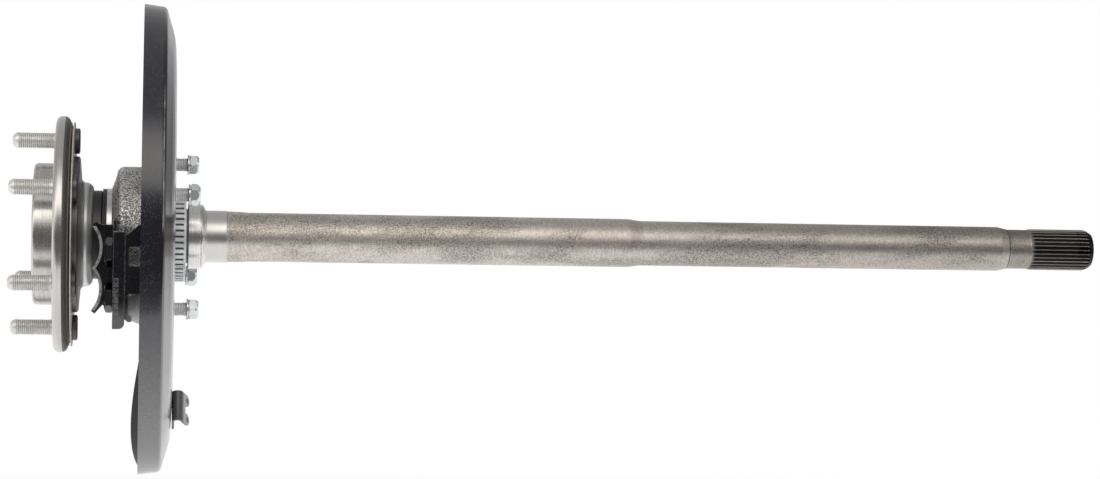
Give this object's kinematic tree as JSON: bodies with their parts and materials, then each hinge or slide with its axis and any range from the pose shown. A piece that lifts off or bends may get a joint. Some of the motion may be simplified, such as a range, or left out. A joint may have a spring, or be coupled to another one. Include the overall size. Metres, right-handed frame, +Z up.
{
  "type": "axle shaft",
  "caption": "Rear axle shaft with a wheel flange and studs at one end and a spline at the other, with bearing case, speed ring, dust shield and brake bracket.",
  "frame": {"origin": "where the axle crosses the face of the dust shield that bolts to the axle housing", "axes": "+X along the axle from the wheel to the spline, +Z up as installed, +Y toward the rear side that the picture hides"},
  "size_m": [0.8333, 0.353, 0.353],
  "materials": {
    "forged_steel": "forged and turned, oiled, with patches of scale",
    "machined_steel": "ground",
    "stud_steel": "rolled thread, satin",
    "bright_steel": "bright sheet",
    "bearing_steel": "polished",
    "cage_steel": "pressed sheet",
    "spring_steel": "phosphated",
    "zinc_plate": "bluish zinc plate",
    "cast_iron": "coarse sand casting, grey",
    "black_gloss_paint": "gloss black",
    "black_coat": "satin black dip coat",
    "dark_bolt_steel": "phosphated and oiled",
    "seal_rubber": "moulded, satin",
    "gasket_paper": "oiled brown gasket paper"
  },
  "bodies": {
    "carrier": {"bearing_case": "cast_iron", "bearing_outer_ring": "bearing_steel", "outboard_bearing_seal": "seal_rubber", "inboard_bearing_seal": "seal_rubber", "bearing_snap_ring": "spring_steel", "oil_seal_case": "bright_steel", "oil_seal_lip": "seal_rubber", "garter_spring": "spring_steel", "case_studs": "zinc_plate", "spring_washers": "zinc_plate", "case_nuts": "zinc_plate", "dust_shield": "black_gloss_paint", "cable_clip": "black_coat", "brake_bracket": "black_coat", "bracket_bolts": "dark_bolt_steel"},
    "axle": {"axle_shaft": "forged_steel", "wheel_studs": "stud_steel", "deflector_gasket": "gasket_paper", "oil_deflector": "bright_steel", "bearing_inner_ring": "bearing_steel", "tone_ring": "zinc_plate", "bearing_retainer": "machined_steel"},
    "cage": {"ball_cage": "cage_steel", "bearing_balls": "bearing_steel"}
  },
  "joints": [
    {"name": "axle_spin", "type": "hinge", "parent": "carrier", "child": "axle", "pos_m": [0, 0, 0], "axis": [1, 0, 0], "continuous": true},
    {"name": "cage_spin", "type": "hinge", "parent": "carrier", "child": "cage", "pos_m": [-0.02, 0, 0], "axis": [1, 0, 0], "continuous": true}
  ],
  "couplings": [
    {"joint": "cage_spin", "follows": "axle_spin", "ratio": 0.3846}
  ]
}
